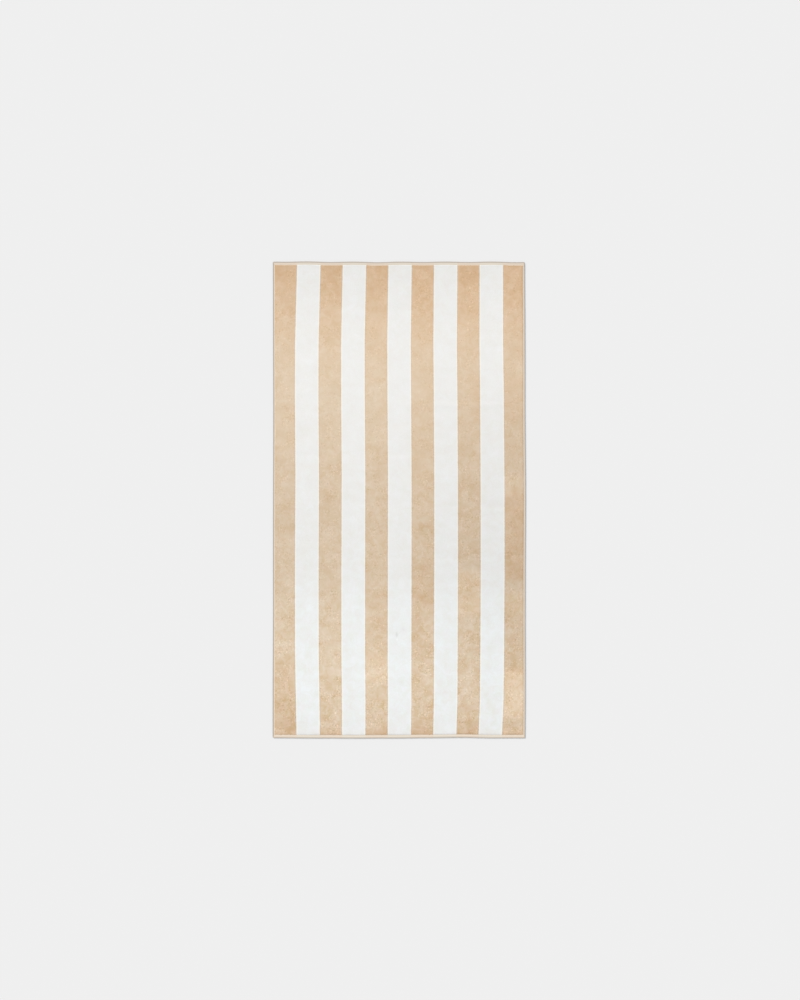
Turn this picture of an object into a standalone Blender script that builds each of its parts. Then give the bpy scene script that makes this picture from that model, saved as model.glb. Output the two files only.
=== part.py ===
"""Beach towel of striped cotton velour, lying flat with its face up.

The cloth is woven in one piece and is one solid. Cut pile covers its face up to a flat-woven border,
which is turned under and sewn down: a hem across each end and a narrower one down each long side. The
hems are thinner than the pile, so the face steps down to them, and every outer edge is a soft fold.

X runs across the towel and Y along it, with the top end at +Y. Its underside rests on Z = 0, and the
origin lies under its middle. All lengths are in metres.
"""

import math
from collections import namedtuple

import bmesh
import bpy
from mathutils import Vector, noise

# Driving dimensions
TOWEL_WIDTH = 0.900
TOWEL_LENGTH = 1.700
PILE_THICKNESS = 0.0036
HEM_THICKNESS = 0.0024
END_HEM_DEPTH = 0.0120
SIDE_HEM_DEPTH = 0.0070
PILE_EDGE_RUN = 0.0030  # the strip beside a hem in which the pile rises to its full height
CORNER_RADIUS = 0.0045
FOLD_RADIUS = 0.0010  # of the folded edge, above and below

# Woven stripes: a coloured one at each side and one between each two white ones
COLOURED_STRIPES = 6
COLOURED_STRIPE_WIDTH = 0.0802
WHITE_STRIPES = COLOURED_STRIPES - 1
WHITE_STRIPE_WIDTH = (TOWEL_WIDTH - COLOURED_STRIPES * COLOURED_STRIPE_WIDTH) / WHITE_STRIPES
STRIPE_PITCH = COLOURED_STRIPE_WIDTH + WHITE_STRIPE_WIDTH

# How the woven cloth strays from a true rectangle. The coloured pile draws each end in a little, so
# the ends are scalloped from stripe to stripe.
TOP_SCALLOP = 0.0008
BOTTOM_SCALLOP = 0.0002

# at is the place along the edge, from the middle; out is how far the edge stands out there, and reach
# is how far to each side of that place the stray goes.
Stray = namedtuple("Stray", "at out reach")
LEFT_STRAYS = (
    Stray(at=0.84, out=0.0004, reach=0.10),
    Stray(at=0.30, out=-0.0008, reach=0.40),
    Stray(at=-0.76, out=0.0012, reach=0.38),
)
RIGHT_STRAYS = (
    Stray(at=0.80, out=-0.0006, reach=0.16),
    Stray(at=0.45, out=0.0011, reach=0.35),
    Stray(at=0.03, out=0.0030, reach=0.36),
    Stray(at=-0.35, out=0.0019, reach=0.40),
    Stray(at=-0.70, out=0.0020, reach=0.30),
)
TOP_STRAYS = (
    Stray(at=-0.39, out=0.0010, reach=0.14),
    Stray(at=-0.08, out=-0.0008, reach=0.12),
    Stray(at=0.44, out=-0.0008, reach=0.10),
)
BOTTOM_STRAYS = (
    Stray(at=-0.16, out=0.0019, reach=0.46),
    Stray(at=0.21, out=-0.0012, reach=0.12),
    Stray(at=0.42, out=0.0012, reach=0.30),
)
STRAY_FADE = 0.120  # how far into the cloth an edge's stray is felt

# The pile lies unevenly, in patches
PATCH_SIZE = 0.055
PATCH_HEIGHT = 0.00025

# Mesh
PANELS_PER_STRIPE = 3
ROW_PITCH = 0.040
CORNER_SEGMENTS = 3
FOLD_SEGMENTS = 2
FOLD_ANGLE = math.radians(60.0)  # edges sharper than this are folds

COLLECTION_NAME = "beach_towel"
CLOTH_NAME = "towel_cloth"

# Cotton in three shades: linear colour, and the roughness that all of it has
Shade = namedtuple("Shade", "name colour")
SHADES = (
    Shade("coloured_pile", (0.72, 0.56, 0.39, 1.0)),
    Shade("white_pile", (0.83, 0.82, 0.80, 1.0)),
    Shade("woven_hem", (0.78, 0.68, 0.56, 1.0)),
)
COLOURED, WHITE, HEM = range(len(SHADES))
COTTON_ROUGHNESS = 0.9


def clear_scene():
    """Remove every object that the scene starts with."""
    for obj in list(bpy.data.objects):
        bpy.data.objects.remove(obj, do_unlink=True)


def rise(start, end, value):
    """Go smoothly from 0 at start to 1 at end."""
    t = min(max((value - start) / (end - start), 0.0), 1.0)
    return t * t * (3.0 - 2.0 * t)


def spaced(start, end, parts):
    """Give the places after start that cut the way to end into equal parts, end included."""
    return [start + (end - start) * i / parts for i in range(1, parts + 1)]


def stations_across():
    """List the mesh's lines across the towel: hem edges, pile edges and the stripes' sides."""
    half = TOWEL_WIDTH / 2
    pile_left = -half + SIDE_HEM_DEPTH + PILE_EDGE_RUN
    pile_right = half - SIDE_HEM_DEPTH - PILE_EDGE_RUN
    lines = [-half, -half + SIDE_HEM_DEPTH, pile_left]
    for i in range(COLOURED_STRIPES):
        colour_start = -half + i * STRIPE_PITCH
        colour_end = colour_start + COLOURED_STRIPE_WIDTH
        first, last = max(colour_start, pile_left), min(colour_end, pile_right)
        lines += spaced(first, last, PANELS_PER_STRIPE)
        if i < WHITE_STRIPES:
            lines += spaced(colour_end, colour_end + WHITE_STRIPE_WIDTH, PANELS_PER_STRIPE)
    return lines + [half - SIDE_HEM_DEPTH, half]


def stations_along():
    """List the mesh's lines along the towel: hem edges, pile edges and even rows between them."""
    half = TOWEL_LENGTH / 2
    pile_bottom = -half + END_HEM_DEPTH + PILE_EDGE_RUN
    pile_top = half - END_HEM_DEPTH - PILE_EDGE_RUN
    rows = round((pile_top - pile_bottom) / ROW_PITCH)
    lines = [-half, -half + END_HEM_DEPTH, pile_bottom]
    return lines + spaced(pile_bottom, pile_top, rows) + [half - END_HEM_DEPTH, half]


def stray_at(strays, along):
    """Sum how far an edge stands out at one place along it."""
    total = 0.0
    for stray in strays:
        total += stray.out * (1.0 - rise(0.0, stray.reach, abs(along - stray.at)))
    return total


def scallop_at(x):
    """Give 1 in the middle of a white stripe and -1 in the middle of a coloured one."""
    first_white_middle = -TOWEL_WIDTH / 2 + COLOURED_STRIPE_WIDTH + WHITE_STRIPE_WIDTH / 2
    return math.cos(2.0 * math.pi * (x - first_white_middle) / STRIPE_PITCH)


def laid_out(x, y):
    """Move a place on the true rectangle to where the uneven cloth has it."""
    half_width, half_length = TOWEL_WIDTH / 2, TOWEL_LENGTH / 2
    near_left = rise(STRAY_FADE, 0.0, x + half_width)
    near_right = rise(STRAY_FADE, 0.0, half_width - x)
    near_bottom = rise(STRAY_FADE, 0.0, y + half_length)
    near_top = rise(STRAY_FADE, 0.0, half_length - y)
    top_out = stray_at(TOP_STRAYS, x) + TOP_SCALLOP * scallop_at(x)
    bottom_out = stray_at(BOTTOM_STRAYS, x) + BOTTOM_SCALLOP * scallop_at(x)
    moved_x = x + near_right * stray_at(RIGHT_STRAYS, y) - near_left * stray_at(LEFT_STRAYS, y)
    moved_y = y + near_top * top_out - near_bottom * bottom_out
    return moved_x, moved_y


def inside_hems(x, y):
    """Give how far in from the side hem and from the end hem a place lies, below 0 in a hem."""
    from_side, from_end = TOWEL_WIDTH / 2 - abs(x), TOWEL_LENGTH / 2 - abs(y)
    return from_side - SIDE_HEM_DEPTH, from_end - END_HEM_DEPTH


def thickness_at(x, y):
    """Give the cloth's thickness: flat in the hems, and uneven pile inside them."""
    from_side_hem, from_end_hem = inside_hems(x, y)
    share = rise(0.0, PILE_EDGE_RUN, from_side_hem) * rise(0.0, PILE_EDGE_RUN, from_end_hem)
    patch = PATCH_HEIGHT * noise.noise(Vector((x, y, 0.0)) / PATCH_SIZE)
    return HEM_THICKNESS + share * (PILE_THICKNESS - HEM_THICKNESS + patch)


def make_face_sheet():
    """Make the face as an open grid, with every vertex at the cloth's thickness."""
    columns, rows = stations_across(), stations_along()
    sheet = bmesh.new()
    bmesh.ops.create_grid(
        sheet,
        x_segments=len(columns) - 1,
        y_segments=len(rows) - 1,
        size=0.5,
    )
    for vertex in sheet.verts:
        x = columns[round((vertex.co.x + 0.5) * (len(columns) - 1))]
        y = rows[round((vertex.co.y + 0.5) * (len(rows) - 1))]
        vertex.co = Vector((*laid_out(x, y), thickness_at(x, y)))
    return sheet


def add_underside(sheet):
    """Close the sheet downwards with a flat underside on Z = 0."""
    grown = bmesh.ops.extrude_face_region(sheet, geom=sheet.faces[:])["geom"]
    for item in grown:
        if isinstance(item, bmesh.types.BMVert):
            item.co.z = 0.0
    bmesh.ops.recalc_face_normals(sheet, faces=sheet.faces[:])


def shade_at(x, y):
    """Say which shade of cotton shows at a place on the towel."""
    if min(inside_hems(x, y)) < 0.0:
        return HEM
    along_pitch = (x + TOWEL_WIDTH / 2) % STRIPE_PITCH
    return COLOURED if along_pitch < COLOURED_STRIPE_WIDTH else WHITE


def dye_faces(cloth):
    """Give every face, above and below, the shade that is woven there."""
    for face in cloth.faces:
        middle = face.calc_center_median()
        face.material_index = shade_at(middle.x, middle.y)


def round_corners(cloth):
    """Round the four corners, as seen from above."""
    half_width, half_length = TOWEL_WIDTH / 2, TOWEL_LENGTH / 2
    corner_edges = []
    for edge in cloth.edges:
        ends = [vertex.co for vertex in edge.verts]
        upright = abs(ends[0].z - ends[1].z) > HEM_THICKNESS / 2
        at_side = all(abs(co.x) > half_width - SIDE_HEM_DEPTH / 2 for co in ends)
        at_end = all(abs(co.y) > half_length - END_HEM_DEPTH / 2 for co in ends)
        if upright and at_side and at_end:
            corner_edges.append(edge)
    bmesh.ops.bevel(
        cloth,
        geom=corner_edges,
        offset=CORNER_RADIUS,
        segments=CORNER_SEGMENTS,
        profile=0.5,
        affect="EDGES",
    )


def cotton_material(shade):
    """Make the material of one shade of cotton."""
    material = bpy.data.materials.new(shade.name)
    material.use_nodes = True
    shader = material.node_tree.nodes["Principled BSDF"]
    shader.inputs["Base Color"].default_value = shade.colour
    shader.inputs["Roughness"].default_value = COTTON_ROUGHNESS
    shader.inputs["Metallic"].default_value = 0.0
    return material


def add_fold(obj):
    """Round the towel's outer edge above and below, as folded cloth is."""
    fold = obj.modifiers.new("folded_edge", "BEVEL")
    fold.width = FOLD_RADIUS
    fold.segments = FOLD_SEGMENTS
    fold.limit_method = "ANGLE"
    fold.angle_limit = FOLD_ANGLE


def build_towel():
    """Build the towel and put it in its own collection."""
    cloth = make_face_sheet()
    add_underside(cloth)
    dye_faces(cloth)
    round_corners(cloth)
    mesh = bpy.data.meshes.new(CLOTH_NAME)
    cloth.to_mesh(mesh)
    cloth.free()
    mesh.shade_smooth()
    mesh.set_sharp_from_angle(angle=FOLD_ANGLE)
    for shade in SHADES:
        mesh.materials.append(cotton_material(shade))
    towel = bpy.data.objects.new(CLOTH_NAME, mesh)
    collection = bpy.data.collections.new(COLLECTION_NAME)
    bpy.context.scene.collection.children.link(collection)
    collection.objects.link(towel)
    add_fold(towel)
    return towel


clear_scene()
build_towel()
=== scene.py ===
"""Beach towel of striped cotton velour: its looks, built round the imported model.

The towel lies flat with its face up. X runs across it, Y along it and Z up, in metres. A place on the
cloth is also known by where it was woven: u across and v along the towel from its middle, on a true
rectangle. ClothLie says where each woven place came to lie, so the stripes and hems are straight in
the weave and drift on the surface as the laid-out cloth does.
"""

import logging
import math
from collections.abc import Callable, Mapping, Sequence
from dataclasses import dataclass
from enum import Enum
from typing import Any

import bmesh
import bpy
import numpy as np
from bpy.types import Material, Mesh, Node, NodeSocket, NodeTree, Object
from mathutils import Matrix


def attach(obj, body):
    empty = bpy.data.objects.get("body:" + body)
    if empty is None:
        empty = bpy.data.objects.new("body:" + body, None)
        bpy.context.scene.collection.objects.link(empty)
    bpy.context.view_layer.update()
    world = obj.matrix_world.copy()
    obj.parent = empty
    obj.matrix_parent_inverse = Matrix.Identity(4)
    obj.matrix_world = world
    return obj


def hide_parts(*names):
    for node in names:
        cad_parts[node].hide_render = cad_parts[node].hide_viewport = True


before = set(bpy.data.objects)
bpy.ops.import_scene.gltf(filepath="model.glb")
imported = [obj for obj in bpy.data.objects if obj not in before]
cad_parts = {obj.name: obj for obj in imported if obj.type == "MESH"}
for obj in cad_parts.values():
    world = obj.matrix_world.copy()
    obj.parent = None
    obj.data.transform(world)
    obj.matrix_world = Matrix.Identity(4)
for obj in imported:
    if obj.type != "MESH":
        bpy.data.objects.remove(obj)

LOG = logging.getLogger("beach_towel")
CAD_NODE = "towel_cloth"
BODY = "root"
MM = 0.001
DENT_STEPS = (-1.2, -0.4, 0.4, 1.2)  # a dent's extra mesh lines, as shares of its size
WAVE_REPEAT = 0.314  # metres between the bands of a wave texture of scale 1
SOCKET_KINDS = {float: "NodeSocketFloat", int: "NodeSocketInt", Material: "NodeSocketMaterial"}

# Kinds of node that are added more than twice
MATH = "ShaderNodeMath"
VECTOR_MATH = "ShaderNodeVectorMath"
MIX = "ShaderNodeMix"
MAP_RANGE = "ShaderNodeMapRange"
NOISE = "ShaderNodeTexNoise"
ATTRIBUTE = "ShaderNodeAttribute"
COMBINE = "ShaderNodeCombineXYZ"
STORE = "GeometryNodeStoreNamedAttribute"

# Names of what the meshes carry for their finishes, and for the pieces that grow on the cloth
WOVEN_MAP = "woven"  # the woven place, in metres
BAKE_MAP = "OFBake"  # the piece laid out flat, for a picture of its finish
PAINTED_SHADE = "tone"  # painted shade: how much light the colour takes away, 0 to 1
DEPTH = "depth"  # how much deeper the dye looks, 0 to 1
COOL = "cool"  # how cool the light on the pile is, 0 to 1
PATCH = "patch"  # how much darker the coloured pile is brushed in places
BUSY = "busy"  # how strong the pile's marks are
INSET = "inset"  # how far in from the outline, in metres
FOLD_SHADE = "fold_shading"  # how much painted shade the folded edge gets, 0 to 1
ROOT = "root"  # where a tuft or loop stands, while it is grown
TIP = "tip"  # 0 at the root of a tuft or loop and on the ground cloth, 1 at the tip


def linear(hex_colour: str) -> tuple[float, float, float, float]:
    """Turn an sRGB hex colour into linear light.

    Args:
        hex_colour: Six hex digits after a hash sign.

    Returns:
        Linear red, green and blue, and full alpha.
    """
    parts = [int(hex_colour[i : i + 2], 16) / 255 for i in (1, 3, 5)]
    light = [p / 12.92 if p <= 0.04045 else ((p + 0.055) / 1.055) ** 2.4 for p in parts]
    return (light[0], light[1], light[2], 1.0)


def rise(start: float, end: float, values: np.ndarray) -> np.ndarray:
    """Go smoothly from 0 at start to 1 at end.

    Args:
        start: Where the rise begins. It may lie above end.
        end: Where the rise is whole.
        values: The places that are asked for.

    Returns:
        One share from 0 to 1 for each value.
    """
    t = np.clip((values - start) / (end - start), 0.0, 1.0)
    return t * t * (3.0 - 2.0 * t)


def fill(tree: NodeTree, node: Node, inputs: Mapping[str | int, Any] | Sequence[Any]) -> Node:
    """Give a node's inputs what they take.

    Args:
        tree: The shader or geometry tree that the node is in.
        node: The node.
        inputs: For each input, by name, by place or in order: a socket or a node, whose first
            output is meant, to link to, or a plain value.

    Returns:
        The same node.
    """
    for key, value in inputs.items() if isinstance(inputs, Mapping) else enumerate(inputs):
        source = value.outputs[0] if isinstance(value, Node) else value
        if isinstance(source, NodeSocket):
            tree.links.new(source, node.inputs[key])
        else:
            node.inputs[key].default_value = source
    return node


def add_node(
    tree: NodeTree, kind: str, inputs: Mapping[str | int, Any] | Sequence[Any] = (), **settings: Any
) -> Node:
    """Add a node with its settings and links.

    Args:
        tree: The shader or geometry tree that gets the node.
        kind: The node's type, such as ShaderNodeMath.
        inputs: What its inputs take, as in fill.
        settings: The node's own properties.

    Returns:
        The new node.
    """
    node = tree.nodes.new(kind)
    for name, value in settings.items():
        setattr(node, name, value)
    return fill(tree, node, inputs)


def new_finish(name: str) -> tuple[Material, NodeTree, Node]:
    """Start a finish.

    Args:
        name: The real material's name.

    Returns:
        The material, its tree and its shader.
    """
    material = bpy.data.materials.new(name)
    material.use_nodes = True
    return material, material.node_tree, material.node_tree.nodes["Principled BSDF"]


def new_object(name: str, data: Any) -> Object:
    """Put an object with this name and data into the scene, at the origin.

    Args:
        name: The object's name.
        data: Its mesh, light or camera.

    Returns:
        The object.
    """
    made = bpy.data.objects.new(name, data)
    bpy.context.scene.collection.objects.link(made)
    return made


def new_mesh(name: str, shape: bmesh.types.BMesh) -> Mesh:
    """Turn a working shape into a mesh, and free it.

    Args:
        name: The mesh's name.
        shape: The working shape.

    Returns:
        The mesh.
    """
    mesh = bpy.data.meshes.new(name)
    shape.to_mesh(mesh)
    shape.free()
    return mesh


def read(items: Any, field: str, kind: type, width: int = 1) -> np.ndarray:
    """Read one field of all vertices, corners or polygons of a mesh.

    Args:
        items: The mesh's vertices, corners or polygons.
        field: The field's name.
        kind: The kind of number that it holds.
        width: How many numbers it holds for each item.

    Returns:
        A row for each item, or one number for each where the width is 1.
    """
    values = np.empty(len(items) * width, kind)
    items.foreach_get(field, values)
    return values.reshape(-1, width) if width > 1 else values


# How the towel was woven and how it lies


@dataclass(frozen=True)
class Stray:
    """A stretch of an edge that strays from the straight line."""

    at: float  # along the edge, from its middle
    out: float  # how far it stands out there
    reach: float  # how far along the edge to each side it does so


@dataclass(frozen=True)
class LieRow:
    """How the stripes lie at one place along the towel."""

    along: float
    drift: float  # to the right, of all stripes
    squeeze: float  # towards the middle, of a place 370 mm from it


@dataclass(frozen=True)
class ShadeRow:
    """The painted shade of the pile, and its dye, light and marks, at one place along the towel."""

    along: float
    whole: float  # painted shade over the whole width
    right: float  # more painted shade towards the right edge
    depth: float  # how much deeper the dye looks
    cool: float  # how cool the light is
    busy: float  # how strong the pile's marks are


def between(rows: Sequence[LieRow | ShadeRow], field: str, v: np.ndarray) -> np.ndarray:
    """Read a field of rows at places between the ones that they describe.

    Args:
        rows: The rows, from the towel's top down.
        field: The field's name.
        v: Woven places along.

    Returns:
        The field's value at each place.
    """
    upwards = rows[::-1]
    return np.interp(v, [row.along for row in upwards], [getattr(row, field) for row in upwards])


@dataclass(frozen=True)
class Dent:
    """A small place where the pile has parted and shows its shaded roots."""

    u: float
    v: float
    width: float
    length: float
    tone: float


@dataclass(frozen=True)
class Patch:
    """A large soft-edged place where the coloured pile is brushed another way."""

    u: float
    v: float
    width: float
    length: float
    dark: float
    depth: float  # how much deeper the dye looks


@dataclass(frozen=True)
class FoldLine:
    """A faint line across the towel, left from when it lay folded."""

    along: float
    start: float
    end: float
    height: float  # above the pile round it; below 0 for a trough


@dataclass(frozen=True)
class WeavePlan:
    """The towel as it is woven and hemmed, on a true rectangle."""

    width: float = 0.900
    length: float = 1.700
    coloured_stripes: int = 6
    coloured_width: float = 80.2 * MM
    pile_thickness: float = 3.6 * MM
    hem_thickness: float = 2.4 * MM
    end_hem: float = 12.0 * MM
    side_hem: float = 7.0 * MM
    pile_edge_run: float = 3.0 * MM
    seam_from_pile: float = 2.2 * MM  # the row of stitches, out from the pile's edge
    corner_radius: float = 4.5 * MM

    @property
    def white_width(self) -> float:
        """Width of a white stripe."""
        whites = self.coloured_stripes - 1
        return (self.width - self.coloured_stripes * self.coloured_width) / whites

    @property
    def pitch(self) -> float:
        """Width of a coloured and a white stripe together."""
        return self.coloured_width + self.white_width

    def borders(self) -> list[float]:
        """Give the woven places of the borders between the stripes, from the left."""
        places = []
        for index in range(self.coloured_stripes - 1):
            left = -self.width / 2 + index * self.pitch
            places += [left + self.coloured_width, left + self.pitch]
        return places

    def in_coloured(self, u: np.ndarray) -> np.ndarray:
        """Say for each woven place across whether it is in a coloured stripe."""
        return np.mod(u + self.width / 2, self.pitch) < self.coloured_width

    def inside_hems(self, u: np.ndarray, v: np.ndarray) -> np.ndarray:
        """Give how far in each woven place lies from the hems' inner edges.

        Args:
            u: Woven places across.
            v: Woven places along.

        Returns:
            Distances in metres, below 0 in a hem.
        """
        side = self.width / 2 - np.abs(u) - self.side_hem
        end = self.length / 2 - np.abs(v) - self.end_hem
        return np.minimum(side, end)


@dataclass(frozen=True)
class ClothLie:
    """How the woven rectangle came to lie on the floor: the same unevenness as the solid's."""

    left: Sequence[Stray] = (  # at, out, reach, as in the next three
        Stray(0.84, 0.0004, 0.10),
        Stray(0.30, -0.0008, 0.40),
        Stray(-0.76, 0.0012, 0.38),
    )
    right: Sequence[Stray] = (
        Stray(0.80, -0.0006, 0.16),
        Stray(0.45, 0.0011, 0.35),
        Stray(0.03, 0.0030, 0.36),
        Stray(-0.35, 0.0019, 0.40),
        Stray(-0.70, 0.0020, 0.30),
    )
    top: Sequence[Stray] = (
        Stray(-0.39, 0.0010, 0.14),
        Stray(-0.08, -0.0008, 0.12),
        Stray(0.44, -0.0008, 0.10),
    )
    bottom: Sequence[Stray] = (
        Stray(-0.16, 0.0019, 0.46),
        Stray(0.21, -0.0012, 0.12),
        Stray(0.42, 0.0012, 0.30),
    )
    top_scallop: float = 0.8 * MM
    bottom_scallop: float = 0.2 * MM
    fade: float = 0.120  # how far into the cloth an edge's stray is felt
    rows: Sequence[LieRow] = (  # along, drift, squeeze
        LieRow(0.85, 4.2 * MM, 2.6 * MM),
        LieRow(0.72, 2.6 * MM, 0.6 * MM),
        LieRow(0.56, 0.4 * MM, -1.5 * MM),
        LieRow(0.38, 1.3 * MM, -3.3 * MM),
        LieRow(0.08, 3.2 * MM, -3.1 * MM),
        LieRow(-0.26, 2.8 * MM, -4.3 * MM),
        LieRow(-0.55, 2.2 * MM, -3.2 * MM),
        LieRow(-0.72, 2.8 * MM, -0.4 * MM),
        LieRow(-0.85, 1.0 * MM, 3.6 * MM),
    )
    squeeze_at: float = 0.370
    free_at: float = 0.030  # how far inside the side hems the pile follows the pull in full
    fold_lines: Sequence[FoldLine] = (  # along, start, end, height
        FoldLine(0.525, -0.45, -0.10, -0.25 * MM),
        FoldLine(0.338, 0.12, 0.40, 0.50 * MM),
        FoldLine(0.160, -0.45, 0.12, -0.40 * MM),
        FoldLine(-0.024, 0.18, 0.45, -0.55 * MM),
        FoldLine(-0.210, -0.22, 0.30, -0.35 * MM),
    )
    fold_line_width: float = 8 * MM
    fold_line_fade: float = 0.05  # how far past its ends a fold line still shows
    fold_line_full: float = 0.03  # how far inside its ends it is whole

    def laid_out(self, plan: WeavePlan, u: np.ndarray, v: np.ndarray) -> tuple[np.ndarray, np.ndarray]:
        """Say where woven places lie.

        Args:
            plan: The towel as woven.
            u: Woven places across the towel.
            v: Woven places along it.

        Returns:
            The places' x and y.
        """
        half_width, half_length = plan.width / 2, plan.length / 2
        x = u + rise(self.fade, 0.0, half_width - u) * self._stray(self.right, v)
        x -= rise(self.fade, 0.0, half_width + u) * self._stray(self.left, v)
        first_white = -half_width + plan.coloured_width + plan.white_width / 2
        scallop = np.cos(2.0 * np.pi * (u - first_white) / plan.pitch)
        top_out = self._stray(self.top, u) + self.top_scallop * scallop
        bottom_out = self._stray(self.bottom, u) + self.bottom_scallop * scallop
        y = v + rise(self.fade, 0.0, half_length - v) * top_out
        y -= rise(self.fade, 0.0, half_length + v) * bottom_out
        return x + self._pull(plan, u, v), y

    def fold_relief(self, u: np.ndarray, v: np.ndarray) -> np.ndarray:
        """Give how far the faint fold lines lift the cloth's face at each woven place.

        Args:
            u: Woven places across.
            v: Woven places along.

        Returns:
            Heights in metres, below 0 in a trough.
        """
        total = np.zeros_like(u)
        for line in self.fold_lines:
            begun = rise(line.start - self.fold_line_fade, line.start + self.fold_line_full, u)
            unended = rise(line.end + self.fold_line_fade, line.end - self.fold_line_full, u)
            across = np.exp(-(((v - line.along) / self.fold_line_width) ** 2))
            total += line.height * begun * unended * across
        return total

    def _stray(self, strays: Sequence[Stray], along: np.ndarray) -> np.ndarray:
        """Sum how far an edge stands out at each place along it.

        Args:
            strays: The edge's strays.
            along: Places along the edge.

        Returns:
            Distances outwards.
        """
        total = np.zeros_like(along)
        for stray in strays:
            total += stray.out * (1.0 - rise(0.0, stray.reach, np.abs(along - stray.at)))
        return total

    def _pull(self, plan: WeavePlan, u: np.ndarray, v: np.ndarray) -> np.ndarray:
        """Give the sideways pull on the pile inside the side hems, which themselves lie straight.

        Args:
            plan: The towel as woven.
            u: Woven places across.
            v: Woven places along.

        Returns:
            Distances to the right.
        """
        drift, squeeze = (between(self.rows, field, v) for field in ("drift", "squeeze"))
        free = rise(0.0, self.free_at, plan.inside_hems(u, np.zeros_like(u)))
        return free * (drift - squeeze * u / self.squeeze_at)


@dataclass(frozen=True)
class PileShadeAndDye:
    """Painted shade over the whole towel, soft light and dark, with the dye's depth, the light's coolness and
    the marks' strength.
    """

    rows: Sequence[ShadeRow] = (  # along, whole, right, depth, cool, busy
        ShadeRow(0.85, 0.74, 0.00, 0.86, 0.0, 1.00),
        ShadeRow(0.74, 0.44, 0.00, 0.68, 0.0, 0.95),
        ShadeRow(0.62, 0.12, 0.08, 0.35, 0.0, 0.85),
        ShadeRow(0.48, 0.06, 0.16, 0.06, 0.0, 0.72),
        ShadeRow(0.25, 0.24, 0.38, 0.08, 0.0, 0.78),
        ShadeRow(-0.10, 0.50, 0.52, 0.15, 0.2, 0.98),
        ShadeRow(-0.27, 0.54, 0.58, 0.12, 0.3, 1.00),
        ShadeRow(-0.38, 0.26, 0.50, 0.16, 0.8, 1.15),
        ShadeRow(-0.60, 0.06, 0.38, 0.16, 1.0, 1.40),
        ShadeRow(-0.76, 0.26, 0.22, 0.20, 0.8, 1.55),
        ShadeRow(-0.815, 0.42, 0.16, 0.40, 0.7, 1.50),
        ShadeRow(-0.85, 0.50, 0.12, 0.60, -0.5, 1.40),
    )
    patches: Sequence[Patch] = (  # u, v, width, length, dark, depth
        Patch(0.0, -0.47, 0.48, 0.15, 0.012, 0.0),
        Patch(0.0, -0.46, 0.13, 0.14, 0.022, 0.16),
        Patch(0.36, -0.53, 0.09, 0.14, 0.02, 0.16),
        Patch(-0.29, 0.00, 0.22, 0.85, 0.0, -0.07),
        Patch(-0.25, 0.02, 0.25, 0.14, 0.02, 0.0),
        Patch(-0.20, 0.30, 0.15, 0.12, 0.0, -0.10),
        Patch(-0.42, 0.55, 0.06, 0.20, 0.015, 0.0),
        Patch(0.36, 0.36, 0.10, 0.08, 0.01, 0.18),
        Patch(0.40, 0.056, 0.10, 0.035, -0.06, -0.1),
        Patch(0.40, -0.13, 0.10, 0.16, 0.0, 0.40),
        Patch(0.25, -0.33, 0.05, 0.08, -0.07, 0.0),
        Patch(0.08, -0.30, 0.06, 0.08, 0.01, 0.20),
        Patch(-0.42, -0.70, 0.06, 0.13, 0.045, 0.30),
        Patch(-0.08, -0.60, 0.06, 0.05, -0.05, 0.0),
        Patch(0.0, -0.805, 0.48, 0.015, 0.02, 0.0),
        Patch(0.0, -0.830, 0.27, 0.005, 0.08, 0.30),
        Patch(0.43, 0.60, 0.05, 0.10, 0.02, 0.05),
        Patch(0.42, -0.69, 0.05, 0.085, -0.10, 0.0),
        Patch(0.42, -0.37, 0.05, 0.04, -0.055, 0.0),
    )
    patch_edge: float = 0.022  # half of the way over which a patch fades
    right_from: float = -0.12  # where the rows' rightward share starts, across the towel
    right_to: float = 0.42  # and where it is whole
    edge: float = 0.35  # painted shade on the outermost pile, darker beside the hems
    edge_shade_reach: float = 7 * MM
    dents: Sequence[Dent] = (  # u, v, width, length, painted shade
        Dent(-0.0095, -0.482, 3.2 * MM, 7.0 * MM, 1.8),
        Dent(-0.0085, -0.499, 3.0 * MM, 3.0 * MM, -0.9),
        Dent(0.015, -0.462, 5.0 * MM, 6.0 * MM, 0.6),
    )

    def tone(self, plan: WeavePlan, u: np.ndarray, v: np.ndarray) -> np.ndarray:
        """Give the painted shade at each woven place: the share of light that the colour takes away.

        Args:
            plan: The towel as woven.
            u: Woven places across.
            v: Woven places along.

        Returns:
            Shares of the light.
        """
        rightward = self.along("right", v) * rise(self.right_from, self.right_to, u)
        total = self.along("whole", v) + rightward
        total += self.edge * rise(self.edge_shade_reach, 0.0, plan.inside_hems(u, v))
        for dent in self.dents:
            away = np.hypot((u - dent.u) / dent.width, (v - dent.v) / dent.length)
            total += dent.tone * np.exp(-(away**2))
        return total

    def depth(self, u: np.ndarray, v: np.ndarray) -> np.ndarray:
        """Give how much deeper the dye looks at each woven place, 0 to 1."""
        return self._patched("depth", self.along("depth", v), u, v)

    def darkness(self, u: np.ndarray, v: np.ndarray) -> np.ndarray:
        """Give how much darker the patches make the coloured pile at each woven place."""
        return self._patched("dark", np.zeros_like(u), u, v)

    def along(self, field: str, v: np.ndarray) -> np.ndarray:
        """Give one field of the rows at each woven place along the towel."""
        return between(self.rows, field, v)

    def dent_lines(self, place: str, size: str) -> list[float]:
        """Give the woven places where the cloth's mesh needs lines for the dents, one way."""
        dents = [(getattr(dent, place), getattr(dent, size)) for dent in self.dents]
        return [middle + reach * step for middle, reach in dents for step in DENT_STEPS]

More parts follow.
